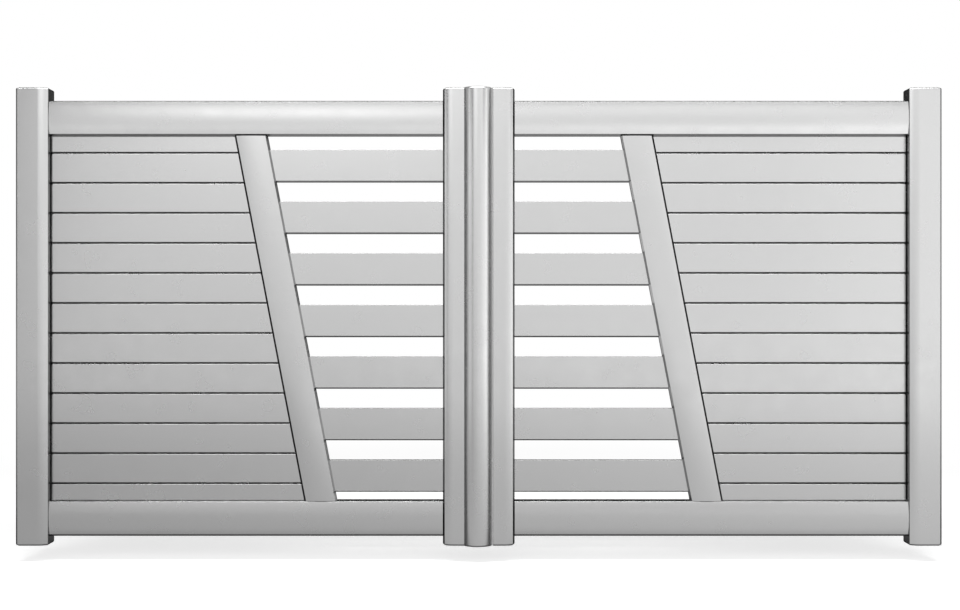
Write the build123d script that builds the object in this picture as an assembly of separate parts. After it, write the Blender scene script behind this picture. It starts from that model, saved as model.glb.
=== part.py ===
from build123d import *
import math
import os

# Two-leaf swing gate in aluminium, hung between two pillars. Millimetres.
# +X runs from the left pillar to the right one, +Y points into the property (the leaves open
# that way) and +Z is up. The origin lies on the left pillar's face, level with the hinge axis
# and with the middle of the lower hinge plate.

# The opening and the leaves in it
OPENING_WIDTH = 3000.0        # pillar face to pillar face
HINGE_GAP = 15.0              # pillar face to a leaf's outer edge
STILE_HEIGHT = 1469.0         # over the end caps
HINGE_INSET = 200.0           # a stile's end to the middle of its hinge

# Stiles: flat face, falling away in a wide arc on the side of the panel
HINGE_STILE_WIDTH = 104.0
MEETING_STILE_WIDTH = 70.0
STILE_DEPTH = 74.0
STILE_ARC_WIDTH = 33.0
STILE_ARC_DROP = 8.0
STILE_OUTER_RADIUS = 6.0
STILE_INNER_RADIUS = 5.0
STILE_JOINT_RADIUS = 2.0
CAP_THICKNESS = 8.0
CAP_EDGE = 1.5
CAP_INSET = 0.25              # leaves a fine seam between neighbouring caps

# Rails: crowned front and back, flat top and bottom
RAIL_HEIGHT = 114.0
RAIL_EDGE_DEPTH = 43.0
RAIL_CROWN_DEPTH = 52.0
RAIL_EDGE_RADIUS = 6.0
TOP_OVERHANG = 39.5           # stile end above the top rail
BOTTOM_OVERHANG = 27.5        # stile end below the bottom rail

# Slanted brace between boards and slats
BRACE_WIDTH = 101.0
BRACE_EDGE_DEPTH = 40.0
BRACE_CROWN_DEPTH = 46.0
BRACE_EDGE_RADIUS = 5.0
PANEL_NARROW_END = 597.0      # hinge stile to brace, at the boards' narrow end
PANEL_WIDE_END = 821.0        # and at their wide end

# Infill: tongued boards on the hinge side, open slats on the meeting side
INFILL_THICKNESS = 16.0
INFILL_SETBACK = 32.0         # stile face to infill face
FULL_BOARD_COUNT = 11
TOP_BOARD_SHOW = 53.0
BOTTOM_BOARD_SHOW = 55.0
BOARD_CHAMFER = 2.5
BOARD_CLEARANCE = 0.4
TONGUE_THICKNESS = 5.0
TONGUE_LENGTH = 6.0
SLAT_COUNT = 7
SLAT_HEIGHT = 105.0
SLAT_EDGE_RADIUS = 3.0
SLAT_TOP_GAP = 43.0
SLAT_BOTTOM_GAP = 25.0

# Meeting: closing post with a half-round cover strip, on the left leaf
CLOSING_POST_WIDTH = 84.0
COVER_RISE = 24.0
MEETING_GAP = 7.0             # closing post to the right leaf
MEETING_LAND = 8.0            # depth of the two faces that meet
MEETING_RELIEF = 4.0          # how far both fall back behind that, for the swing
GASKET_DEPTH = 4.0
GASKET_SETBACK = 1.0
GASKET_CLEARANCE = 0.9

# Hinges: wall plate with lug and pin, strap with eye on the leaf
AXIS_FROM_PILLAR = 27.0
AXIS_BEHIND_STILE = 26.0
PLATE_THICKNESS = 6.0
PLATE_WIDTH = 70.0
PLATE_HEIGHT = 120.0
PLATE_CORNER = 6.0
BOLT_HOLE_RADIUS = 4.5
BOLT_SPACING_Y = 44.0
BOLT_SPACING_Z = 90.0
KNUCKLE_RADIUS = 14.0
LUG_HEIGHT = 24.0
EYE_HEIGHT = 30.0
EYE_LIFT = 0.3                # bearing clearance between lug and eye
PIN_RADIUS = 8.0
PIN_CLEARANCE = 0.05
PIN_PROUD = 6.0
PIN_CHAMFER = 1.5
STRAP_THICKNESS = 5.0
STRAP_WIDTH = 60.0
STRAP_HEIGHT = 90.0
STRAP_INSET = 7.0             # leaf's outer edge to the strap

# Places worked out from the sizes above
STILE_BACK = -AXIS_BEHIND_STILE
STILE_FRONT = STILE_BACK - STILE_DEPTH
MID_Y = (STILE_FRONT + STILE_BACK) / 2
STILE_LOW = -HINGE_INSET
STILE_HIGH = STILE_LOW + STILE_HEIGHT
LOWER_HINGE_Z = 0.0
UPPER_HINGE_Z = STILE_HIGH - HINGE_INSET
GATE_CENTRE = OPENING_WIDTH / 2
MEETING_WIDTH = CLOSING_POST_WIDTH + MEETING_GAP
HINGE_OUTER = HINGE_GAP
HINGE_INNER = HINGE_OUTER + HINGE_STILE_WIDTH
MEETING_JOINT = GATE_CENTRE - MEETING_WIDTH / 2
MEETING_INNER = MEETING_JOINT - MEETING_STILE_WIDTH
PANEL_LOW = STILE_LOW + BOTTOM_OVERHANG + RAIL_HEIGHT
PANEL_HIGH = STILE_HIGH - TOP_OVERHANG - RAIL_HEIGHT
PANEL_HEIGHT = PANEL_HIGH - PANEL_LOW
INFILL_FRONT = STILE_FRONT + INFILL_SETBACK
INFILL_BACK = INFILL_FRONT + INFILL_THICKNESS
INFILL_MID = (INFILL_FRONT + INFILL_BACK) / 2
MIRROR_PLANE = Plane.YZ.offset(GATE_CENTRE)


def upright(section):
    """A plan section carried up between the two end caps."""
    start = Pos(0, 0, STILE_LOW + CAP_THICKNESS) * section
    return extrude(start, STILE_HEIGHT - 2 * CAP_THICKNESS, dir=(0, 0, 1))


def end_cap(section, at_top):
    """A cap over the end of an upright, with its outer rim eased."""
    outline = offset(section, -CAP_INSET, kind=Kind.INTERSECTION)
    low = STILE_HIGH - CAP_THICKNESS if at_top else STILE_LOW
    cap = extrude(Pos(0, 0, low) * outline, CAP_THICKNESS, dir=(0, 0, 1))
    rim = cap.faces().sort_by(Axis.Z)[-1 if at_top else 0]
    return fillet(rim.edges(), CAP_EDGE)


def stile_section(joint_x, panel_x, joint_radius, relieved=False):
    """Plan of a stile: square at joint_x, rounded off in a wide arc towards panel_x."""
    way = math.copysign(1, panel_x - joint_x)
    flat_x = panel_x - way * STILE_ARC_WIDTH
    edge_front = STILE_FRONT + STILE_ARC_DROP
    edge_back = STILE_BACK - STILE_ARC_DROP
    joint_side = [(joint_x, STILE_BACK), (joint_x, STILE_FRONT)]
    if relieved:
        inner = joint_x + way * MEETING_RELIEF
        land_end = STILE_FRONT + MEETING_LAND
        joint_side = [
            (inner, STILE_BACK),
            (inner, land_end + MEETING_RELIEF),
            (joint_x, land_end),
            (joint_x, STILE_FRONT),
        ]
    outline = [
        Polyline((flat_x, STILE_BACK), *joint_side, (flat_x, STILE_FRONT)),
        TangentArc((flat_x, STILE_FRONT), (panel_x, edge_front), tangent=(way, 0)),
        Line((panel_x, edge_front), (panel_x, edge_back)),
        TangentArc((flat_x, STILE_BACK), (panel_x, edge_back), tangent=(way, 0)),
    ]
    section = make_face(outline)
    corners = [v for v in section.vertices() if abs(v.X - panel_x) < 1e-6]
    section = fillet(corners, STILE_INNER_RADIUS)
    ends = (joint_side[0], joint_side[-1])
    corners = [v for v in section.vertices() if any(math.dist((v.X, v.Y), end) < 1e-6 for end in ends)]
    return fillet(corners, joint_radius)


def closing_post_section():
    """Plan of the closing post: flat against its stile, relieved on the side that swings."""
    right = MEETING_JOINT + CLOSING_POST_WIDTH
    land_end = STILE_FRONT + MEETING_LAND
    return make_face(Polyline(
        (MEETING_JOINT, STILE_FRONT),
        (right, STILE_FRONT),
        (right, land_end),
        (right - MEETING_RELIEF, land_end + MEETING_RELIEF),
        (right - MEETING_RELIEF, STILE_BACK),
        (MEETING_JOINT, STILE_BACK),
        close=True,
    ))


def cover_section():
    """Plan of the half-round cover strip: a circle's segment on the closing post's face."""
    right = MEETING_JOINT + CLOSING_POST_WIDTH
    crest = ((MEETING_JOINT + right) / 2, STILE_FRONT - COVER_RISE)
    return make_face([
        ThreePointArc((MEETING_JOINT, STILE_FRONT), crest, (right, STILE_FRONT)),
        Line((right, STILE_FRONT), (MEETING_JOINT, STILE_FRONT)),
    ])


def crowned_section(width, edge_depth, crown_depth, radius):
    """A bar's section: flat sides, both faces bowed out, corners rounded."""
    side = width / 2
    edge = edge_depth / 2
    crown = crown_depth / 2
    section = make_face([
        ThreePointArc((-side, -edge), (0, -crown), (side, -edge)),
        Line((side, -edge), (side, edge)),
        ThreePointArc((side, edge), (0, crown), (-side, edge)),
        Line((-side, edge), (-side, -edge)),
    ])
    return fillet(section.vertices(), radius)


def rail(low):
    """A level rail from stile to stile, its lower side at the height low."""
    section = crowned_section(RAIL_HEIGHT, RAIL_EDGE_DEPTH, RAIL_CROWN_DEPTH, RAIL_EDGE_RADIUS)
    start = Plane(
        origin=(HINGE_INNER, MID_Y, low + RAIL_HEIGHT / 2),
        x_dir=(0, 0, 1),
        z_dir=(1, 0, 0),
    )
    return extrude(start * section, MEETING_INNER - HINGE_INNER)


def panel_prism(low_left, low_right, high_left, high_right):
    """The space of a four-sided panel between the rails, deeper than the whole leaf."""
    corners = Polyline(
        (low_left, PANEL_LOW),
        (low_right, PANEL_LOW),
        (high_right, PANEL_HIGH),
        (high_left, PANEL_HIGH),
        close=True,
    )
    return extrude(Plane.XZ.offset(-MID_Y) * make_face(corners), STILE_DEPTH, both=True)


def brace(low_x, high_x):
    """The slanted bar whose hinge-side edge runs from high_x at the top rail to low_x below."""
    slant = math.atan2(low_x - high_x, PANEL_HEIGHT)
    level_width = BRACE_WIDTH / math.cos(slant)
    spare = BRACE_WIDTH
    down = Vector(math.sin(slant), 0, -math.cos(slant))
    across = Vector(math.cos(slant), 0, math.sin(slant))
    head = Vector(high_x + level_width / 2, MID_Y, PANEL_HIGH)
    start = Plane(origin=head - down * spare, x_dir=across, z_dir=down)
    section = crowned_section(BRACE_WIDTH, BRACE_EDGE_DEPTH, BRACE_CROWN_DEPTH, BRACE_EDGE_RADIUS)
    bar = extrude(start * section, PANEL_HEIGHT / math.cos(slant) + 2 * spare)
    reach = panel_prism(HINGE_INNER, MEETING_INNER, HINGE_INNER, MEETING_INNER)
    return bar & reach


def board_section(low, high):
    """One board's section: eased edges, a tongue above and a groove below."""
    front_shoulder = INFILL_FRONT + BOARD_CHAMFER
    back_shoulder = INFILL_BACK - BOARD_CHAMFER
    tongue = TONGUE_THICKNESS / 2
    groove = tongue + BOARD_CLEARANCE
    groove_top = low + TONGUE_LENGTH + BOARD_CLEARANCE
    return make_face(Polyline(
        (INFILL_FRONT, low + BOARD_CHAMFER),
        (INFILL_FRONT, high - BOARD_CHAMFER),
        (front_shoulder, high),
        (INFILL_MID - tongue, high),
        (INFILL_MID - tongue, high + TONGUE_LENGTH),
        (INFILL_MID + tongue, high + TONGUE_LENGTH),
        (INFILL_MID + tongue, high),
        (back_shoulder, high),
        (INFILL_BACK, high - BOARD_CHAMFER),
        (INFILL_BACK, low + BOARD_CHAMFER),
        (back_shoulder, low),
        (INFILL_MID + groove, low),
        (INFILL_MID + groove, groove_top),
        (INFILL_MID - groove, groove_top),
        (INFILL_MID - groove, low),
        (front_shoulder, low),
        close=True,
    ))


def boards(low_x, high_x):
    """The tongued boards between hinge stile and brace, each cut to the panel's shape."""
    prism = panel_prism(HINGE_INNER, low_x, HINGE_INNER, high_x)
    pitch = (PANEL_HEIGHT - TOP_BOARD_SHOW - BOTTOM_BOARD_SHOW) / FULL_BOARD_COUNT
    first_joint = PANEL_LOW + BOTTOM_BOARD_SHOW
    length = max(low_x, high_x) - HINGE_INNER
    cut = []
    for number in range(FULL_BOARD_COUNT + 2):
        low = first_joint + (number - 1) * pitch + BOARD_CLEARANCE / 2
        high = low + pitch - BOARD_CLEARANCE
        section = Plane.YZ.offset(HINGE_INNER) * board_section(low, high)
        cut.extend((extrude(section, length) & prism).solids())
    return Compound(cut)


def slat(low, low_x, high_x):
    """One open slat from brace to meeting stile, its lower edge at the height low."""
    prism = panel_prism(low_x, MEETING_INNER, high_x, MEETING_INNER)
    section = RectangleRounded(INFILL_THICKNESS, SLAT_HEIGHT, SLAT_EDGE_RADIUS)
    start = Plane.YZ.offset(HINGE_INNER) * Pos(INFILL_MID, low + SLAT_HEIGHT / 2)
    return extrude(start * section, MEETING_INNER - HINGE_INNER) & prism


def block(x, y, z):
    """A box between two limits along each axis."""
    sizes = [high - low for low, high in (x, y, z)]
    return Pos(x[0], y[0], z[0]) * Box(*sizes, align=(Align.MIN, Align.MIN, Align.MIN))


def post_round(radius, low, high):
    """A round bar on the hinge axis."""
    centre = Pos(AXIS_FROM_PILLAR, 0, low)
    return centre * Cylinder(radius, high - low, align=(Align.CENTER, Align.CENTER, Align.MIN))


def wall_plate(z):
    """Hinge half on the pillar: bolted plate, lug and upright pin, welded into one piece."""
    half_width = PLATE_WIDTH / 2
    half_height = PLATE_HEIGHT / 2
    plate = block((0, PLATE_THICKNESS), (-half_width, half_width), (z - half_height, z + half_height))
    plate = fillet(plate.edges().filter_by(Axis.X), PLATE_CORNER)
    holes = Plane.YZ * Pos(0, z) * GridLocations(BOLT_SPACING_Y, BOLT_SPACING_Z, 2, 2)
    for hole in holes:
        plate -= hole * Cylinder(BOLT_HOLE_RADIUS, 4 * PLATE_THICKNESS)
    lug_low = z - LUG_HEIGHT
    lug = block((0, AXIS_FROM_PILLAR), (-KNUCKLE_RADIUS, KNUCKLE_RADIUS), (lug_low, z))
    lug += post_round(KNUCKLE_RADIUS, lug_low, z)
    pin = post_round(PIN_RADIUS, lug_low, z + EYE_LIFT + EYE_HEIGHT + PIN_PROUD)
    pin = chamfer(pin.edges().sort_by(Axis.Z)[-1], PIN_CHAMFER)
    return plate + lug + pin


def leaf_strap(z):
    """Hinge half on the leaf: strap on the stile's back, carrying the eye on the pin."""
    eye_low = z + EYE_LIFT
    eye_high = eye_low + EYE_HEIGHT
    middle = (eye_low + eye_high) / 2
    strap_left = HINGE_OUTER + STRAP_INSET
    strap_back = STILE_BACK + STRAP_THICKNESS
    strap = block(
        (strap_left, strap_left + STRAP_WIDTH),
        (STILE_BACK, strap_back),
        (middle - STRAP_HEIGHT / 2, middle + STRAP_HEIGHT / 2),
    )
    strap = fillet(strap.edges().filter_by(Axis.Y), PLATE_CORNER)
    arm = block(
        (AXIS_FROM_PILLAR - KNUCKLE_RADIUS, AXIS_FROM_PILLAR + KNUCKLE_RADIUS),
        (strap_back, 0),
        (eye_low, eye_high),
    )
    eye = strap + arm + post_round(KNUCKLE_RADIUS, eye_low, eye_high)
    return eye - post_round(PIN_RADIUS + PIN_CLEARANCE, eye_low - 1, eye_high + 1)


def leaf(boards_low, boards_high, relieved):
    """All pieces of a leaf hung on the left, by name; the boards' widths are given low and high."""
    low_x = HINGE_INNER + boards_low
    high_x = HINGE_INNER + boards_high
    slant = math.atan2(low_x - high_x, PANEL_HEIGHT)
    level_width = BRACE_WIDTH / math.cos(slant)
    hinge = stile_section(HINGE_OUTER, HINGE_INNER, STILE_OUTER_RADIUS)
    meeting = stile_section(MEETING_JOINT, MEETING_INNER, STILE_JOINT_RADIUS, relieved)
    uprights = [hinge, meeting]
    pieces = {
        "hinge_stile": upright(hinge),
        "meeting_stile": upright(meeting),
        "top_rail": rail(PANEL_HIGH),
        "bottom_rail": rail(STILE_LOW + BOTTOM_OVERHANG),
        "brace": brace(low_x, high_x),
        "boards": boards(low_x, high_x),
        "upper_hinge_strap": leaf_strap(UPPER_HINGE_Z),
        "lower_hinge_strap": leaf_strap(LOWER_HINGE_Z),
    }
    travel = PANEL_HEIGHT - SLAT_TOP_GAP - SLAT_BOTTOM_GAP - SLAT_HEIGHT
    for number in range(SLAT_COUNT):
        low = PANEL_LOW + SLAT_BOTTOM_GAP + travel * number / (SLAT_COUNT - 1)
        name = f"slat_{SLAT_COUNT - number}"
        pieces[name] = slat(low, low_x + level_width, high_x + level_width)
    if not relieved:
        post = closing_post_section()
        cover = cover_section()
        right = MEETING_JOINT + CLOSING_POST_WIDTH
        uprights.append(post + cover)
        pieces["closing_post"] = upright(post)
        pieces["cover_strip"] = upright(cover)
        pieces["closing_gasket"] = block(
            (right, right + MEETING_GAP - GASKET_CLEARANCE),
            (STILE_FRONT + GASKET_SETBACK, STILE_FRONT + GASKET_SETBACK + GASKET_DEPTH),
            (STILE_LOW + CAP_EDGE, STILE_HIGH - CAP_EDGE),
        )
    pieces["top_caps"] = Compound([end_cap(plan, True).solid() for plan in uprights])
    pieces["bottom_caps"] = Compound([end_cap(plan, False).solid() for plan in uprights])
    return pieces


nodes = {}
for name, piece in leaf(PANEL_WIDE_END, PANEL_NARROW_END, relieved=False).items():
    nodes["left_" + name] = piece
for name, piece in leaf(PANEL_NARROW_END, PANEL_WIDE_END, relieved=True).items():
    nodes["right_" + name] = mirror(piece, about=MIRROR_PLANE)
for level, height in (("upper", UPPER_HINGE_Z), ("lower", LOWER_HINGE_Z)):
    plate = wall_plate(height)
    nodes[f"left_{level}_wall_plate"] = plate
    nodes[f"right_{level}_wall_plate"] = mirror(plate, about=MIRROR_PLANE)

os.makedirs("parts", exist_ok=True)
for name, piece in nodes.items():
    export_step(piece, f"parts/{name}.step")
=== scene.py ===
import bpy
import math
import numpy as np
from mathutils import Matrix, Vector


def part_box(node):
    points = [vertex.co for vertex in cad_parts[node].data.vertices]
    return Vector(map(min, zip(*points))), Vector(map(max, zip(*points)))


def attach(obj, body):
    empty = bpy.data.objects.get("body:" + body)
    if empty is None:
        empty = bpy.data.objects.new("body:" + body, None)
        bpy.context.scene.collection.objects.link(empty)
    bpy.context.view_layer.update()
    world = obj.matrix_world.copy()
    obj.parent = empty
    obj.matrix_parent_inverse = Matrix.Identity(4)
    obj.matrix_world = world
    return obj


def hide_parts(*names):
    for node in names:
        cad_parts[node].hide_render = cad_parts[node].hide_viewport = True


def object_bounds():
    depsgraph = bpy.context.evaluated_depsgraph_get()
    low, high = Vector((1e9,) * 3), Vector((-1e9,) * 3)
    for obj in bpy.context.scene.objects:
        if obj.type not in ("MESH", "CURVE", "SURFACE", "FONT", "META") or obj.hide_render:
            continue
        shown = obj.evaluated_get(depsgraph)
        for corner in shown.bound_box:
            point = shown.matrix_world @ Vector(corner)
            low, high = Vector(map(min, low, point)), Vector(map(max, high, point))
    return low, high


# Dressing of a two-leaf aluminium driveway gate: every profile is a section carried along its length.

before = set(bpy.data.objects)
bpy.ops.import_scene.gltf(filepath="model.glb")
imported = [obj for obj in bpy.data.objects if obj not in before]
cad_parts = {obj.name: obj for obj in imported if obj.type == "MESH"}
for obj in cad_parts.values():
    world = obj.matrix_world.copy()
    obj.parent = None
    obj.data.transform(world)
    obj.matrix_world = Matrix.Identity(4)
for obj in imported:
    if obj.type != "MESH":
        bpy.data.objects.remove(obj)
cad_low, cad_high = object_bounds()

MM = 0.001

# Bevels of rails, braces and slats, each (width, depth); steep ones show as dark lines along the edges.
# The nose is the radius where a bevel meets the face, the heel the one where it meets the side.
STEEP_BEVEL = (4.5 * MM, 14 * MM)
UNDER_BEVEL = (5.5 * MM, 18 * MM)
BLUNT_BEVEL = (7 * MM, 11 * MM)
SMALL_BEVEL = (2.5 * MM, 3 * MM)
SLAT_BEVEL = (5 * MM, 14.5 * MM)
BEVEL_NOSE = 2 * MM
BEVEL_HEEL = 5 * MM

# Stiles and their end caps; the arc takes its share of the room that its neighbours leave
STILE_ARC_WIDTH = 33 * MM
STILE_ARC_SLOPE = math.radians(27)
STILE_ARC_SHARE = 0.999
STILE_OUTER_BEVEL = (8 * MM, 9.5 * MM)
STILE_PANEL_BEVEL = {"hinge": (1 * MM, 2 * MM), "meeting": (6 * MM, 19 * MM)}
STILE_JOINT_EDGE = 2 * MM
CAP_RIM = 6 * MM

# Rails and braces; the bow takes its share of the room between the bevels
RAIL_CROWN = 4.5 * MM
BRACE_CROWN = 3 * MM
BOW_SHARE = 0.97
BRACE_WIDTH = 101 * MM
SLANT_ROUNDS = 20

# Boards and slats
FULL_BOARD_COUNT = 11
TOP_BOARD_SHOW = 53 * MM
BOTTOM_BOARD_SHOW = 55 * MM
BOARD_EDGE = 1.5 * MM
BOARD_BACK_EDGE = 2 * MM
BOARD_CLEARANCE = 0.4 * MM
BOARD_CORNER = 6 * MM
JOINT_WIDTH = 6 * MM
JOINT_DEPTH = 11.5 * MM
END_JOINT_WIDTH = 3.5 * MM
TONGUE_THICKNESS = 2.5 * MM
TONGUE_LENGTH = 6 * MM
SLAT_EDGE = 0.8 * MM
SLAT_COUNT = 7

# Meeting of the leaves
MEETING_LAND = 8 * MM
MEETING_RELIEF = 4 * MM
GASKET_EDGE = 1.5 * MM
FINE_EDGE = 0.6 * MM

# Bolts of the hinge straps
STRAP_THICKNESS = 5 * MM
BOLT_FROM_FREE_EDGE = 14 * MM
BOLT_RISE = 30 * MM
BOLT_ACROSS_FLATS = 13 * MM
BOLT_HEAD_HEIGHT = 5.3 * MM
BOLT_BEVEL_HEIGHT = 0.8 * MM
BOLT_TOP_SHARE = 0.95
WASHER_RADIUS = 8 * MM
WASHER_THICKNESS = 1.6 * MM

# Points along each curve, and the bend from which an edge shades sharp
RIM_POINTS = 9
CORNER_POINTS = 7
COVER_POINTS = 57
BOLT_POINTS = 48
SHARP_BEND = math.radians(50)

# Finishes: where most values of a noise lie, pattern sizes, and the least and most roughness of each
NOISE_LOW = 0.3
NOISE_HIGH = 0.7
SPRAY_CLOUD = 70 * MM
FLAKE = 3 * MM
PEEL = 5 * MM
PEEL_HEIGHT = 0.2 * MM
PEEL_STRENGTH = 0.05
COAT_ROUGHNESS = (0.23, 0.28)
ZINC_CLOUD = 9 * MM
ZINC_ROUGHNESS = (0.3, 0.48)
RUBBER_GRAIN = 4 * MM
RUBBER_ROUGHNESS = (0.7, 0.9)

# Camera: its place in metres, its lens and sensor in millimetres
CAMERA_PLACE = (1.504, -4.0, 0.5715)
CAMERA_LENS = 45.7
CAMERA_SENSOR = 36.0

# Floor: how far below the gate, how far round it, and the distances between which its shadow fades out
FLOOR_DROP = 55 * MM
FLOOR_REACH = 60.0
FADE_FROM = 2.2
FADE_TO = 3.6
FLOOR_GLOW = 0.66
WHITE = 1.0

# Floor in the metal's reflections, where it glows at painted levels of light and shade. In front of the
# gate its level runs from left to right, between the margins beside the gate: painted light, brighter to
# the right. Behind it the pairs are a share of FLOOR_DEPTH and a level: a painted shadow of the gate,
# dark under it and just behind it, lighter further back. The seam is the stretch of y over which the
# front goes over into the back.
FLOOR_PAINTED_LEFT = 0.5
FLOOR_PAINTED_RIGHT = 0.86
FLOOR_MARGIN = 0.65
FLOOR_DEPTH = 4.0
FLOOR_PAINTED_BEHIND = ((0.07, 0.12), (0.15, 0.38), (0.3, 0.38), (0.7, 1.0))
FLOOR_SEAM = (-0.3, -0.12)

# Surroundings in the metal's reflections: pairs of a place, from the front (0) past the sides (0.5) to the
# back (1), and a level, times a glow that runs from left to right while the direction's x goes from
# -GLOW_SLANT to GLOW_SLANT. All other light gets the dim level.
SURROUNDINGS = ((0.25, 0.15), (0.37, 1.0), (0.55, 1.0), (0.8, 0.75), (0.86, 0.12))
LEFT_GLOW = 0.55
RIGHT_GLOW = 0.95
GLOW_SLANT = 0.5
DIM = 0.12

# Lamps: name, place, point that it faces, width, height and watts
LAMPS = (
    ("low panel", (1.95, -4.6, 0.2), (1.95, 0.0, 0.2), 7.3, 0.8, 10.8),
    ("middle panel", (1.95, -4.6, 0.95), (1.95, 0.0, 0.95), 7.3, 0.7, 13.4),
    ("upper panel", (1.95, -4.62, 1.75), (1.95, 0.0, 1.75), 7.3, 0.9, 20.6),
    ("top panel", (1.95, -4.6, 2.95), (1.95, 0.0, 0.8), 7.3, 1.5, 43.0),
    ("right panel", (4.8, -4.66, 1.0), (4.8, 0.0, 1.0), 1.6, 2.4, 2.0),
    ("top left panel", (0.3, -4.66, 2.4), (1.5, -0.1, 0.5), 1.8, 0.9, 3.3),
    ("right wall", (5.6, -2.9, 1.0), (1.5, -2.9, 1.0), 3.4, 2.4, 26.5),
    ("upper right wall", (5.62, -2.9, 1.7), (1.5, -2.9, 1.7), 3.4, 1.2, 3.5),
    ("left corner", (-2.05, -4.6, 1.0), (1.5, -0.1, 1.0), 0.7, 2.4, 1.0),
    ("left wall", (-2.4, -2.9, 1.0), (1.5, -2.9, 1.0), 3.2, 2.4, 15.0),
    ("upper left wall", (-2.42, -2.9, 1.7), (1.5, -2.9, 1.7), 3.2, 1.2, 5.5),
    ("overhead", (1.5, -1.4, 3.2), (1.5, -0.4, 0.0), 4.5, 1.0, 110.0),
)


def limits(node):
    """Lowest and highest corner of a node, as arrays."""
    low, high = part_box(node)
    return np.array(low), np.array(high)


# Outlines

def rounded(corners, radii, steps=6):
    """Closed outline with an arc in place of each corner.

    An arc of radius r starts r * tan(turn / 2) before its corner and ends as far behind it. Its points
    are the start point turned about the arc's centre by equal shares of the turn.
    """
    corner = np.asarray(corners, float)
    radius = np.broadcast_to(np.asarray(radii, float), len(corner))
    into = corner - np.roll(corner, 1, axis=0)
    out = np.roll(corner, -1, axis=0) - corner
    into /= np.linalg.norm(into, axis=1, keepdims=True)
    out /= np.linalg.norm(out, axis=1, keepdims=True)
    cross = into[:, 0] * out[:, 1] - into[:, 1] * out[:, 0]
    turn = np.arctan2(cross, (into * out).sum(axis=1))
    start = corner - into * (radius * np.tan(np.abs(turn) / 2))[:, None]
    left = np.stack([-into[:, 1], into[:, 0]], axis=1)
    centre = start + left * (np.sign(turn) * radius)[:, None]
    angle = turn[:, None] * np.linspace(0, 1, steps + 1)
    arm = (start - centre)[:, None, :]
    x = arm[..., 0] * np.cos(angle) - arm[..., 1] * np.sin(angle)
    y = arm[..., 0] * np.sin(angle) + arm[..., 1] * np.cos(angle)
    return (centre[:, None, :] + np.stack([x, y], axis=-1)).reshape(-1, 2)


def crowned(width, depth, crown, first, last):
    """Outline of a bowed bar: two faces that rise by crown towards the middle, and bevelled edges.

    A bowed face is the arc that rounds off a flat gable between the bevels, first and last. A gable of
    the slope s and the half width h rounds to a crest of about h * s / 2, which sets its slope.
    """
    half = width / 2
    face = half - (first[0] + last[0]) / 2
    middle = (first[0] - last[0]) / 2
    slope = 2 * crown / face
    gable = face * math.tan(slope)
    bow = BOW_SHARE * face / math.sin(slope)
    crest = gable - bow * (1 / math.cos(slope) - 1)
    side = depth / 2 - crest
    front = [
        (-half, first[1] - side),
        (first[0] - half, -side),
        (middle, -side - gable),
        (half - last[0], -side),
        (half, last[1] - side),
    ]
    back = [(u, -v) for u, v in reversed(front)]
    radii = [BEVEL_HEEL, BEVEL_NOSE / 2, bow, BEVEL_NOSE / 2, BEVEL_HEEL]
    return rounded(front + back, radii * 2, steps=12)


def stile_plan(joint_x, panel_x, front, back, kind, relieved):
    """Plan of a stile: a flat face that falls away in a wide arc towards the panel, then a bevel.

    The arc rounds off the bend between the flat and a line at STILE_ARC_SLOPE. The bend is placed so
    that the arc begins STILE_ARC_WIDTH from the panel side and ends where the bevel's nose begins.
    """
    way = math.copysign(1, panel_x - joint_x)
    bevel_width, bevel_depth = STILE_PANEL_BEVEL[kind]
    arc_width = STILE_ARC_WIDTH - bevel_width
    stretch = 1 / math.cos(STILE_ARC_SLOPE)
    turn = math.atan2(bevel_depth, bevel_width) - STILE_ARC_SLOPE
    nose_radius = min(BEVEL_NOSE, bevel_width)
    nose = nose_radius * math.tan(turn / 2)
    reach = (arc_width * stretch - nose) / (1 + stretch)
    run = arc_width - reach
    drop = run * math.tan(STILE_ARC_SLOPE)
    arc = STILE_ARC_SHARE * reach / math.tan(STILE_ARC_SLOPE / 2)
    edge_x = panel_x - way * bevel_width
    bend_x = edge_x - way * run
    heel = drop + bevel_depth
    corners = [
        (bend_x, front),
        (edge_x, front + drop),
        (panel_x, front + heel),
        (panel_x, back - heel),
        (edge_x, back - drop),
        (bend_x, back),
    ]
    radii = [arc] + [nose_radius] * 4 + [arc]
    if kind == "hinge":
        outer_width, outer_depth = STILE_OUTER_BEVEL
        outer_x = joint_x + way * outer_width
        corners += [(outer_x, back), (joint_x, back - outer_depth)]
        corners += [(joint_x, front + outer_depth), (outer_x, front)]
        radii += [BEVEL_NOSE] * 4
    elif relieved:
        inner = joint_x + way * MEETING_RELIEF
        land = front + MEETING_LAND
        corners += [(inner, back), (inner, land + MEETING_RELIEF), (joint_x, land), (joint_x, front)]
        radii += [STILE_JOINT_EDGE, FINE_EDGE, FINE_EDGE, STILE_JOINT_EDGE]
    else:
        corners += [(joint_x, back), (joint_x, front)]
        radii += [STILE_JOINT_EDGE, STILE_JOINT_EDGE]
    return rounded(corners, radii, steps=8)


def closing_post_plan(low, high):
    """Plan of the closing post: square to its stile, with a narrow land and a step back on the far side."""
    inner = high[0] - MEETING_RELIEF
    land = low[1] + MEETING_LAND
    corners = [
        (low[0], low[1]),
        (high[0], low[1]),
        (high[0], land),
        (inner, land + MEETING_RELIEF),
        (inner, high[1]),
        (low[0], high[1]),
    ]
    return rounded(corners, [FINE_EDGE] * 4 + [STILE_JOINT_EDGE] * 2, steps=4)


def cover_plan(low, high):
    """Plan of the cover strip: a circle's segment, its chord as long as the strip is wide."""
    half = (high[0] - low[0]) / 2
    rise = high[1] - low[1]
    radius = (half ** 2 + rise ** 2) / (2 * rise)
    reach = math.asin(half / radius)
    turn = np.linspace(-reach, reach, COVER_POINTS)
    x = (low[0] + high[0]) / 2 + radius * np.sin(turn)
    y = low[1] + radius * (1 - np.cos(turn))
    return np.stack([x, y], axis=1)


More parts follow.
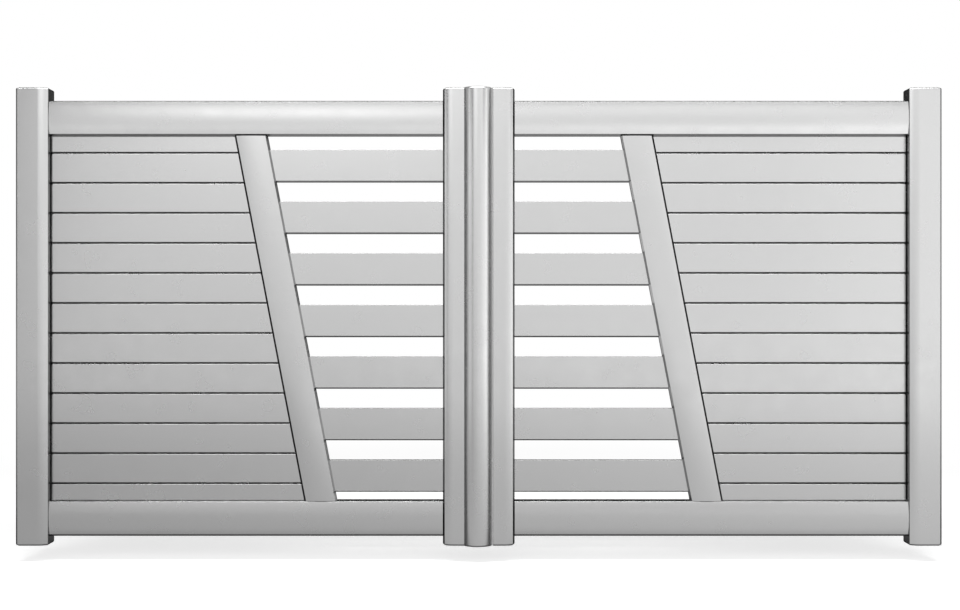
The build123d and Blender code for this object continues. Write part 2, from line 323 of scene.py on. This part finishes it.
def gasket_plan(low, high):
    """Plan of the gasket: an oblong with its free edges rounded."""
    corners = [(low[0], low[1]), (high[0], low[1]), (high[0], high[1]), (low[0], high[1])]
    return rounded(corners, [FINE_EDGE, GASKET_EDGE, GASKET_EDGE, FINE_EDGE])


def board_section(low, high, front, back, tongue, groove):
    """A board's section (height, depth). Where it meets the next board its face turns back into a V.

    Behind the V lies the tongue on its top or the groove below.
    """
    half = (JOINT_WIDTH - BOARD_CLEARANCE) / 2
    near = front + JOINT_DEPTH
    far = near + TONGUE_THICKNESS
    tip = high + TONGUE_LENGTH
    slot = low + TONGUE_LENGTH + BOARD_CLEARANCE
    upper = [(high, front), (high, back)]
    upper_radii = [BOARD_EDGE, BOARD_BACK_EDGE]
    if tongue:
        upper = [(high - half, front), (high, near), (tip, near), (tip, far), (high, far), (high, back)]
        upper_radii = [BOARD_EDGE] + [FINE_EDGE] * 5
    lower = [(low, back), (low, front)]
    lower_radii = [BOARD_BACK_EDGE, BOARD_EDGE]
    if groove:
        near -= BOARD_CLEARANCE
        far += BOARD_CLEARANCE
        lower = [(low, back), (low, far), (slot, far), (slot, near), (low, near), (low + half, front)]
        lower_radii = [FINE_EDGE] * 5 + [BOARD_EDGE]
    return rounded(upper + lower, upper_radii + lower_radii, steps=5)


# Meshes

def skin(loops):
    """Points, quads and end faces of one bar from its loops, shape (stations, points, 3).

    Neighbouring loops are joined by quads, and the first and the last loop are closed flat. Where the
    signed volume comes out negative the bar is inside out, and its faces are turned round.
    """
    stations, count = loops.shape[:2]
    index = np.arange(stations * count).reshape(stations, count)
    ahead = np.roll(index, -1, axis=1)
    quads = np.stack([index[:-1], ahead[:-1], ahead[1:], index[1:]], axis=-1).reshape(-1, 4)
    ends = np.stack([index[0, ::-1], index[-1]])
    points = loops.reshape(-1, 3)
    a, b, c, d = (points[quads[:, k]] - points.mean(axis=0) for k in range(4))
    volume = (np.cross(a, b) * c).sum() + (np.cross(a, c) * d).sum()
    if volume < 0:
        quads = quads[:, ::-1]
        ends = ends[:, ::-1]
    return points, quads, ends


def make_piece(name, bars, material, body, slot, *replaced):
    """One object from the skins of its bars; rounded edges shade round, flat faces stay flat."""
    faces = []
    start = 0
    for points, quads, ends in bars:
        faces += (quads + start).tolist() + (ends + start).tolist()
        start += len(points)
    mesh = bpy.data.meshes.new(name)
    mesh.from_pydata(np.concatenate([points for points, _, _ in bars]).tolist(), [], faces)
    mesh.shade_smooth()
    mesh.set_sharp_from_angle(angle=SHARP_BEND)
    mesh.materials.append(material)
    piece = bpy.data.objects.new(name, mesh)
    bpy.context.scene.collection.objects.link(piece)
    weighted = piece.modifiers.new("flat faces stay flat", "WEIGHTED_NORMAL")
    weighted.keep_sharp = True
    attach(piece, body)
    if replaced:
        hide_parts(*replaced)


def upright(plan, low, high):
    """A plan carried straight up from low to high."""
    loops = np.empty((2, len(plan), 3))
    loops[..., :2] = plan
    loops[..., 2] = np.array([[low], [high]])
    return skin(loops)


def end_cap(plan, low, high, at_top, joints):
    """A cap with a rounded rim: while the plan rises by r * sin(t) it draws in by r * (1 - cos(t)).

    It draws in towards its middle, but not at joints, the sides where it meets the next cap: with one
    of them it draws in towards that side, with two it keeps its width.
    """
    t = np.linspace(0, math.pi / 2, RIM_POINTS)
    rise = np.append(0, high - low - CAP_RIM + CAP_RIM * np.sin(t))
    inset = np.append(0, CAP_RIM * (1 - np.cos(t)))[:, None]
    least, most = plan.min(axis=0), plan.max(axis=0)
    anchor = (least + most) / 2
    reach = (most - least) / 2
    if joints:
        anchor[0] = joints[0]
        reach[0] = most[0] - least[0] if len(joints) == 1 else math.inf
    loops = np.empty((len(rise), len(plan), 3))
    loops[..., :2] = anchor + (plan - anchor) * (1 - inset / reach)[:, None, :]
    loops[..., 2] = (low + rise if at_top else high - rise)[:, None]
    return skin(loops)


def level_bar(section, x_low, x_high):
    """A section (height, depth) carried level; each end is a number or an array, one x a point."""
    loops = np.empty((2, len(section), 3))
    loops[0, :, 0] = x_low
    loops[1, :, 0] = x_high
    loops[..., 1] = section[:, 1]
    loops[..., 2] = section[:, 0]
    return skin(loops)


def hex_bolt(x, y, z):
    """A washer and a hexagon head that stand on the plane y and point along +Y.

    Each ring has its radius as a function of the angle round the bolt: constant on the washer and on
    the head's bevelled top, and half the width across flats / cos(angle from the nearest flat's middle)
    on the hexagon.
    """
    angle = np.arange(BOLT_POINTS) * math.tau / BOLT_POINTS
    apothem = BOLT_ACROSS_FLATS / 2
    hexagon = apothem / np.cos((angle + math.pi / 6) % (math.pi / 3) - math.pi / 6)
    washer = np.full_like(angle, WASHER_RADIUS)
    bevel = np.full_like(angle, apothem * BOLT_TOP_SHARE)
    top = WASHER_THICKNESS + BOLT_HEAD_HEIGHT
    radius = np.stack([washer, washer, hexagon, hexagon, bevel])
    height = np.array([0, WASHER_THICKNESS, WASHER_THICKNESS, top - BOLT_BEVEL_HEIGHT, top])
    loops = np.empty((len(height), len(angle), 3))
    loops[..., 0] = x + radius * np.cos(angle)
    loops[..., 1] = (y + height)[:, None]
    loops[..., 2] = z + radius * np.sin(angle)
    return skin(loops)


# Nodes and colours

def linear(text):
    """A colour written as sRGB hex, in linear light."""
    srgb = np.array([int(text[k:k + 2], 16) / 255 for k in (1, 3, 5)])
    value = np.where(srgb <= 0.04045, srgb / 12.92, ((srgb + 0.055) / 1.055) ** 2.4)
    return (*value.tolist(), 1.0)


def add(tree, kind, settings=None, links=None):
    """One node with its settings, sockets or properties by name, and its incoming links.

    The setting "stops" gives a colour ramp its places between 0 and 1, each with a level of grey.
    """
    node = tree.nodes.new(kind)
    for key, value in (settings or {}).items():
        if key == "stops":
            ramp = node.color_ramp.elements
            for position, level in value:
                ramp.new(position).color = (level, level, level, 1)
            ramp.remove(ramp[0])
            ramp.remove(ramp[-1])
        elif isinstance(key, int) or key in node.inputs:
            node.inputs[key].default_value = value
        else:
            setattr(node, key, value)
    for key, source in (links or {}).items():
        tree.links.new(source, node.inputs[key])
    return node


def node_tree(owner):
    """The owner's node tree, switched on and empty."""
    owner.use_nodes = True
    owner.node_tree.nodes.clear()
    return owner.node_tree


# Materials

def silver_powder_coat(name, dark, light):
    """Powder coat with metal flakes, sprayed on aluminium and baked.

    To the eye it is a satin silver: soft mirror images, a little cloudy from the spraying, that turn
    dark where a face is seen at a low angle. The real flakes, about 0.05 mm, and the orange peel of
    the baked coat, about 2 mm, are too fine to show, so both are drawn coarser.
    """
    material = bpy.data.materials.new(name)
    tree = node_tree(material)
    place = add(tree, "ShaderNodeTexCoord")
    cloud = add(
        tree, "ShaderNodeTexNoise",
        {"Scale": 1 / SPRAY_CLOUD, "Detail": 3.0},
        {"Vector": place.outputs["Object"]},
    )
    smooth, rough = COAT_ROUGHNESS
    roughness = add(
        tree, "ShaderNodeMapRange",
        {"From Min": NOISE_LOW, "From Max": NOISE_HIGH, "To Min": smooth, "To Max": rough},
        {"Value": cloud.outputs["Fac"]},
    )
    flake = add(
        tree, "ShaderNodeTexNoise",
        {"Scale": 1 / FLAKE, "Detail": 1.0},
        {"Vector": place.outputs["Object"]},
    )
    tone = add(
        tree, "ShaderNodeMix",
        {"data_type": "RGBA", 6: linear(dark), 7: linear(light)},
        {0: flake.outputs["Fac"]},
    )
    peel = add(
        tree, "ShaderNodeTexNoise",
        {"Scale": 1 / PEEL, "Detail": 2.0},
        {"Vector": place.outputs["Object"]},
    )
    bump = add(
        tree, "ShaderNodeBump",
        {"Strength": PEEL_STRENGTH, "Distance": PEEL_HEIGHT},
        {"Height": peel.outputs["Fac"]},
    )
    shader = add(
        tree, "ShaderNodeBsdfPrincipled",
        {"Metallic": 1.0, "Specular Tint": (0.0, 0.0, 0.0, 1.0)},
        {"Base Color": tone.outputs[2], "Roughness": roughness.outputs[0], "Normal": bump.outputs[0]},
    )
    add(tree, "ShaderNodeOutputMaterial", None, {"Surface": shader.outputs[0]})
    return material


def zinc_plated_steel(name):
    """Rolled steel, zinc-plated in a bath.

    To the eye it is a bluish silver with faint dull clouds, about a centimetre wide, that the bath leaves.
    """
    material = bpy.data.materials.new(name)
    tree = node_tree(material)
    place = add(tree, "ShaderNodeTexCoord")
    cloud = add(
        tree, "ShaderNodeTexNoise",
        {"Scale": 1 / ZINC_CLOUD, "Detail": 3.0},
        {"Vector": place.outputs["Object"]},
    )
    smooth, rough = ZINC_ROUGHNESS
    roughness = add(
        tree, "ShaderNodeMapRange",
        {"From Min": NOISE_LOW, "From Max": NOISE_HIGH, "To Min": smooth, "To Max": rough},
        {"Value": cloud.outputs["Fac"]},
    )
    tone = add(
        tree, "ShaderNodeMix",
        {"data_type": "RGBA", 6: linear("#a9adb2"), 7: linear("#bcbdbb")},
        {0: cloud.outputs["Fac"]},
    )
    shader = add(
        tree, "ShaderNodeBsdfPrincipled",
        {"Metallic": 1.0},
        {"Base Color": tone.outputs[2], "Roughness": roughness.outputs[0]},
    )
    add(tree, "ShaderNodeOutputMaterial", None, {"Surface": shader.outputs[0]})
    return material


def grey_rubber(name):
    """Extruded grey rubber.

    To the eye it is matt and even. Its real grain, about 0.5 mm, is too fine to show and drawn coarser.
    """
    material = bpy.data.materials.new(name)
    tree = node_tree(material)
    place = add(tree, "ShaderNodeTexCoord")
    grain = add(
        tree, "ShaderNodeTexNoise",
        {"Scale": 1 / RUBBER_GRAIN, "Detail": 3.0},
        {"Vector": place.outputs["Object"]},
    )
    smooth, rough = RUBBER_ROUGHNESS
    roughness = add(
        tree, "ShaderNodeMapRange",
        {"To Min": smooth, "To Max": rough},
        {"Value": grain.outputs["Fac"]},
    )
    tone = add(
        tree, "ShaderNodeMix",
        {"data_type": "RGBA", 6: linear("#8c8c8c"), 7: linear("#949494")},
        {0: grain.outputs["Fac"]},
    )
    shader = add(
        tree, "ShaderNodeBsdfPrincipled",
        None,
        {"Base Color": tone.outputs[2], "Roughness": roughness.outputs[0]},
    )
    add(tree, "ShaderNodeOutputMaterial", None, {"Surface": shader.outputs[0]})
    return material


COAT = silver_powder_coat("silver powder coat on aluminium", "#c6c6c6", "#cacaca")
CAP_COAT = silver_powder_coat("silver powder coat on cast caps", "#c4c4c4", "#c9c9c9")
ZINC = zinc_plated_steel("zinc-plated steel")
RUBBER = grey_rubber("grey rubber")


# Pieces

def coated_piece(side, node, bars):
    """A powder-coated piece of a leaf, in place of its solid."""
    make_piece(f"{node}_coated", bars, COAT, f"{side}_leaf", "silver_coat", node)


def stiles(side):
    """Hinge and meeting stile of a leaf; returns the plans with the x that a cap keeps."""
    plans = []
    for kind in ("hinge", "meeting"):
        node = f"{side}_{kind}_stile"
        low, high = limits(node)
        joint_first = (side == "left") == (kind == "hinge")
        joint_x, panel_x = (low[0], high[0]) if joint_first else (high[0], low[0])
        plan = stile_plan(joint_x, panel_x, low[1], high[1], kind, side == "right")
        coated_piece(side, node, [upright(plan, low[2], high[2])])
        plans.append((plan, [joint_x] if kind == "meeting" else []))
    return plans


def closing_pieces():
    """Closing post, cover strip and gasket; returns the plan of their common cap."""
    low, high = limits("left_closing_post")
    post = closing_post_plan(low, high)
    coated_piece("left", "left_closing_post", [upright(post, low[2], high[2])])
    cover = cover_plan(*limits("left_cover_strip"))
    coated_piece("left", "left_cover_strip", [upright(cover, low[2], high[2])])
    node = "left_closing_gasket"
    lip_low, lip_high = limits(node)
    lip = upright(gasket_plan(lip_low, lip_high), lip_low[2], lip_high[2])
    make_piece(f"{node}_lip", [lip], RUBBER, "left_leaf", "gasket_rubber", node)
    behind = post[post[:, 1] > low[1] + FINE_EDGE]
    return np.concatenate([cover, behind]), [low[0], high[0]]


def end_caps(side, plans):
    """Top and bottom caps of a leaf's uprights."""
    for end, at_top in (("top", True), ("bottom", False)):
        node = f"{side}_{end}_caps"
        low, high = limits(node)
        bars = [end_cap(plan, low[2], high[2], at_top, joints) for plan, joints in plans]
        make_piece(f"{node}_rounded", bars, CAP_COAT, f"{side}_leaf", "end_caps", node)


def rails(side):
    """Top and bottom rail of a leaf."""
    bevels = {"top": (UNDER_BEVEL, STEEP_BEVEL), "bottom": (BLUNT_BEVEL, SMALL_BEVEL)}
    for end, (lower, upper) in bevels.items():
        node = f"{side}_{end}_rail"
        low, high = limits(node)
        size = high - low
        section = crowned(size[2], size[1], RAIL_CROWN, lower, upper) + ((low + high) / 2)[[2, 1]]
        coated_piece(side, node, [level_bar(section, low[0], high[0])])


class Brace:
    """The slanted line of a leaf's brace; its level width and its run add up to the box's width.

    The level width is the brace's width / cos(slant), so the slant is found in a few rounds.
    """

    def __init__(self, side):
        self.low, self.high = limits(f"{side}_brace")
        width, _, tall = self.high - self.low
        self.slant = 0.0
        for _ in range(SLANT_ROUNDS):
            self.slant = math.atan((width - BRACE_WIDTH / math.cos(self.slant)) / tall)
        self.level_width = BRACE_WIDTH / math.cos(self.slant)

    def middle(self, z):
        """The x of the middle line at the height z."""
        head = self.low[0] + self.level_width / 2
        return head + (self.high[2] - z) * math.tan(self.slant)


def brace_bar(side, line):
    """The bowed bar, cut level at both ends: its section drawn out by 1 / cos(slant) across."""
    low, high = line.low, line.high
    section = crowned(BRACE_WIDTH, high[1] - low[1], BRACE_CROWN, STEEP_BEVEL, STEEP_BEVEL)
    loops = np.empty((2, len(section), 3))
    loops[..., 2] = np.array([[low[2]], [high[2]]])
    loops[..., 0] = line.middle(loops[..., 2]) + section[:, 0] / math.cos(line.slant)
    loops[..., 1] = (low[1] + high[1]) / 2 + section[:, 1]
    coated_piece(side, f"{side}_brace", [skin(loops)])


def slats(side, line):
    """The open slats, bevelled along the lower front edge and cut along the brace at one end."""
    bevel_width, bevel_depth = SLAT_BEVEL
    for number in range(1, SLAT_COUNT + 1):
        node = f"{side}_slat_{number}"
        low, high = limits(node)
        corners = [
            (low[2] + bevel_width, low[1]),
            (high[2], low[1]),
            (high[2], high[1]),
            (low[2], high[1]),
            (low[2], low[1] + bevel_depth),
        ]
        section = rounded(corners, SLAT_EDGE)
        ends = [low[0], high[0]]
        if side == "left":
            ends[0] = line.middle(section[:, 0]) + line.level_width / 2
        else:
            ends[1] = line.middle(section[:, 0]) - line.level_width / 2
        coated_piece(side, node, [level_bar(section, *ends)])


def boards(side, line):
    """The tongued boards between hinge stile and brace.

    The upper front corner at the stile is rounded: at r * (1 - cos(t)) from the end the front edge lies
    r * (1 - sin(t)) lower. Towards the front both ends draw back evenly from what they meet.
    """
    node = f"{side}_boards"
    low, high = limits(node)
    pitch = (high[2] - low[2] - TOP_BOARD_SHOW - BOTTOM_BOARD_SHOW) / FULL_BOARD_COUNT
    joints = low[2] + BOTTOM_BOARD_SHOW + pitch * np.arange(FULL_BOARD_COUNT + 1)
    lows = np.append(low[2], joints + BOARD_CLEARANCE / 2)
    highs = np.append(joints - BOARD_CLEARANCE / 2, high[2])
    t = np.linspace(0, math.pi / 2, CORNER_POINTS)
    from_end = np.append(BOARD_CORNER * (1 - np.cos(t)), 0)
    drop = np.append(BOARD_CORNER * (1 - np.sin(t)), 0)
    start, way = (low[0], 1) if side == "left" else (high[0], -1)
    bars = []
    for number in range(FULL_BOARD_COUNT + 2):
        top = number == FULL_BOARD_COUNT + 1
        bottom = number == 0
        section = board_section(lows[number], highs[number], low[1], high[1], not top, not bottom)
        in_front = section[:, 1] < low[1] + BOARD_EDGE
        upper_edge = in_front & (section[:, 0] > section[in_front, 0].max() - BOARD_EDGE)
        gap = END_JOINT_WIDTH * np.clip(1 - (section[:, 1] - low[1]) / JOINT_DEPTH, 0, 1)
        loops = np.empty((len(drop), len(section), 3))
        loops[..., 1] = section[:, 1]
        loops[..., 2] = section[:, 0] - drop[:, None] * (upper_edge & (not top))
        loops[..., 0] = start + way * (from_end[:, None] + gap)
        loops[-1, :, 0] = line.middle(section[:, 0]) - way * (line.level_width / 2 + gap)
        bars.append(skin(loops))
    coated_piece(side, node, bars)


def hinge_bolts(side):
    """Two bolts through each hinge strap, on the half that lies away from the pin."""
    _, stile_high = limits(f"{side}_hinge_stile")
    y = stile_high[1] + STRAP_THICKNESS
    for end in ("upper", "lower"):
        low, high = limits(f"{side}_{end}_hinge_strap")
        x = high[0] - BOLT_FROM_FREE_EDGE if side == "left" else low[0] + BOLT_FROM_FREE_EDGE
        middle = (low[2] + high[2]) / 2
        bars = [hex_bolt(x, y, middle + rise) for rise in (-BOLT_RISE, BOLT_RISE)]
        make_piece(f"{side}_{end}_hinge_bolts", bars, ZINC, f"{side}_leaf", "hinge_steel")


for side in ("left", "right"):
    plans = stiles(side)
    if side == "left":
        plans.append(closing_pieces())
    end_caps(side, plans)
    line = Brace(side)
    rails(side)
    brace_bar(side, line)
    slats(side, line)
    boards(side, line)
    hinge_bolts(side)

# The solids that still show are the straps and wall plates of the hinges
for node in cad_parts.values():
    if not node.hide_render:
        node.data.materials.clear()
        node.data.materials.append(ZINC)


# Studio

def square_on_camera():
    """Camera square on to the gate, a little above its middle."""
    camera = bpy.data.objects.new("camera", bpy.data.cameras.new("camera"))
    bpy.context.scene.collection.objects.link(camera)
    camera.data.sensor_width = CAMERA_SENSOR
    camera.data.lens = CAMERA_LENS
    camera.location = CAMERA_PLACE
    camera.rotation_euler = (math.pi / 2, 0, 0)
    bpy.context.scene.camera = camera


def seen_directly(tree, path):
    """The socket that is 1 for what the camera sees, also through something clear."""
    rays = {0: path.outputs["Is Camera Ray"], 1: path.outputs["Is Transmission Ray"]}
    return add(tree, "ShaderNodeMath", {"operation": "MAXIMUM"}, rays).outputs[0]


def floor_material(middle):
    """Matt pale floor.

    The camera sees it white with the gate's shadow, and plain white further from the middle. Metal
    mirrors it as a glow at the levels set for the floor: painted light, brighter to the right in front of
    the gate, and a painted shadow under and just behind it. Other light meets a matt grey.
    """
    material = bpy.data.materials.new("studio floor with painted light and shade in reflections")
    tree = node_tree(material)
    path = add(tree, "ShaderNodeLightPath")
    place = add(tree, "ShaderNodeTexCoord")
    away = add(
        tree, "ShaderNodeVectorMath",
        {"operation": "DISTANCE", 1: middle},
        {0: place.outputs["Object"]},
    )
    far = add(
        tree, "ShaderNodeMapRange",
        {"interpolation_type": "SMOOTHSTEP", "From Min": FADE_FROM, "From Max": FADE_TO},
        {"Value": away.outputs["Value"]},
    )
    glow = add(tree, "ShaderNodeEmission", {"Color": (1, 1, 1, 1), "Strength": FLOOR_GLOW})
    pale = add(tree, "ShaderNodeBsdfDiffuse", {"Color": linear("#f4f4f4")})
    shadowed = add(tree, "ShaderNodeAddShader", None, {0: glow.outputs[0], 1: pale.outputs[0]})
    white = add(tree, "ShaderNodeEmission", {"Color": (1, 1, 1, 1), "Strength": WHITE})
    look = add(
        tree, "ShaderNodeMixShader", None,
        {0: far.outputs[0], 1: shadowed.outputs[0], 2: white.outputs[0]},
    )
    axes = add(tree, "ShaderNodeSeparateXYZ", None, {0: place.outputs["Object"]})
    # Painted light: in front of the gate the floor's glow in reflections grows brighter to the right.
    left = cad_low[0] - FLOOR_MARGIN
    right = cad_high[0] + FLOOR_MARGIN
    in_front = add(
        tree, "ShaderNodeMapRange",
        {"From Min": left, "From Max": right, "To Min": FLOOR_PAINTED_LEFT, "To Max": FLOOR_PAINTED_RIGHT},
        {"Value": axes.outputs["X"]},
    )
    # Painted shadow: under and just behind the gate the glow is dark, and lighter further back.
    depth = add(tree, "ShaderNodeMapRange", {"From Max": FLOOR_DEPTH}, {"Value": axes.outputs["Y"]})
    behind = add(tree, "ShaderNodeValToRGB", {"stops": FLOOR_PAINTED_BEHIND}, {0: depth.outputs[0]})
    seam = add(
        tree, "ShaderNodeMapRange",
        {"From Min": FLOOR_SEAM[0], "From Max": FLOOR_SEAM[1]},
        {"Value": axes.outputs["Y"]},
    )
    level = add(
        tree, "ShaderNodeMix", None,
        {0: seam.outputs[0], 2: in_front.outputs[0], 3: behind.outputs[0]},
    )
    # The floor glows at these painted levels only in the metal's reflections.
    mirrored = add(tree, "ShaderNodeEmission", {"Color": (1, 1, 1, 1)}, {"Strength": level.outputs[0]})
    matt = add(tree, "ShaderNodeBsdfDiffuse", {"Color": linear("#b4b4b4")})
    other = add(
        tree, "ShaderNodeMixShader", None,
        {0: path.outputs["Is Glossy Ray"], 1: matt.outputs[0], 2: mirrored.outputs[0]},
    )
    shown = add(
        tree, "ShaderNodeMixShader", None,
        {0: seen_directly(tree, path), 1: other.outputs[0], 2: look.outputs[0]},
    )
    add(tree, "ShaderNodeOutputMaterial", None, {0: shown.outputs[0]})
    return material


def pale_floor(height):
    """A level floor, one wide quad round the gate."""
    left, right = cad_low[0] - FLOOR_REACH, cad_high[0] + FLOOR_REACH
    front, back = cad_low[1] - FLOOR_REACH, cad_high[1] + FLOOR_REACH
    plan = [(left, front), (right, front), (right, back), (left, back)]
    mesh = bpy.data.meshes.new("floor")
    mesh.from_pydata([(x, y, height) for x, y in plan], [], [(0, 1, 2, 3)])
    mesh.materials.append(floor_material(((cad_low[0] + cad_high[0]) / 2, 0, height)))
    floor = bpy.data.objects.new("floor", mesh)
    bpy.context.scene.collection.objects.link(floor)


def studio_world():
    """Surroundings: white to the camera, at their own levels in metal, and dim for all other light."""
    world = bpy.data.worlds.new("studio")
    bpy.context.scene.world = world
    tree = node_tree(world)
    path = add(tree, "ShaderNodeLightPath")
    direction = add(tree, "ShaderNodeTexCoord")
    axes = add(tree, "ShaderNodeSeparateXYZ", None, {0: direction.outputs["Generated"]})
    to_back = add(tree, "ShaderNodeMapRange", {"From Min": -1.0}, {"Value": axes.outputs["Y"]})
    band = add(tree, "ShaderNodeValToRGB", {"stops": SURROUNDINGS}, {0: to_back.outputs[0]})
    glow = add(
        tree, "ShaderNodeMapRange",
        {"From Min": -GLOW_SLANT, "From Max": GLOW_SLANT, "To Min": LEFT_GLOW, "To Max": RIGHT_GLOW},
        {"Value": axes.outputs["X"]},
    )
    mirrored = add(
        tree, "ShaderNodeMath",
        {"operation": "MULTIPLY"},
        {0: band.outputs[0], 1: glow.outputs[0]},
    )
    other = add(
        tree, "ShaderNodeMix",
        {2: DIM},
        {0: path.outputs["Is Glossy Ray"], 3: mirrored.outputs[0]},
    )
    level = add(
        tree, "ShaderNodeMix",
        {3: WHITE},
        {0: seen_directly(tree, path), 2: other.outputs[0]},
    )
    shown = add(tree, "ShaderNodeBackground", {"Color": (1, 1, 1, 1)}, {"Strength": level.outputs[0]})
    add(tree, "ShaderNodeOutputWorld", None, {0: shown.outputs[0]})


def softbox(name, place, aim, width, height, watts):
    """A rectangular lamp at place that faces aim."""
    lamp = bpy.data.lights.new(name, "AREA")
    lamp.shape = "RECTANGLE"
    lamp.size = width
    lamp.size_y = height
    lamp.energy = watts
    item = bpy.data.objects.new(name, lamp)
    way = np.array(aim) - np.array(place)
    across = math.atan2(way[0], way[1])
    up = math.atan2(way[2], math.hypot(way[0], way[1]))
    item.location = place
    item.rotation_euler = (math.pi / 2 + up, 0, -across)
    item.visible_camera = False
    bpy.context.scene.collection.objects.link(item)


square_on_camera()
pale_floor(cad_low[2] - FLOOR_DROP)
studio_world()
for lamp in LAMPS:
    softbox(*lamp)

bpy.context.scene.view_settings.view_transform = "Standard"
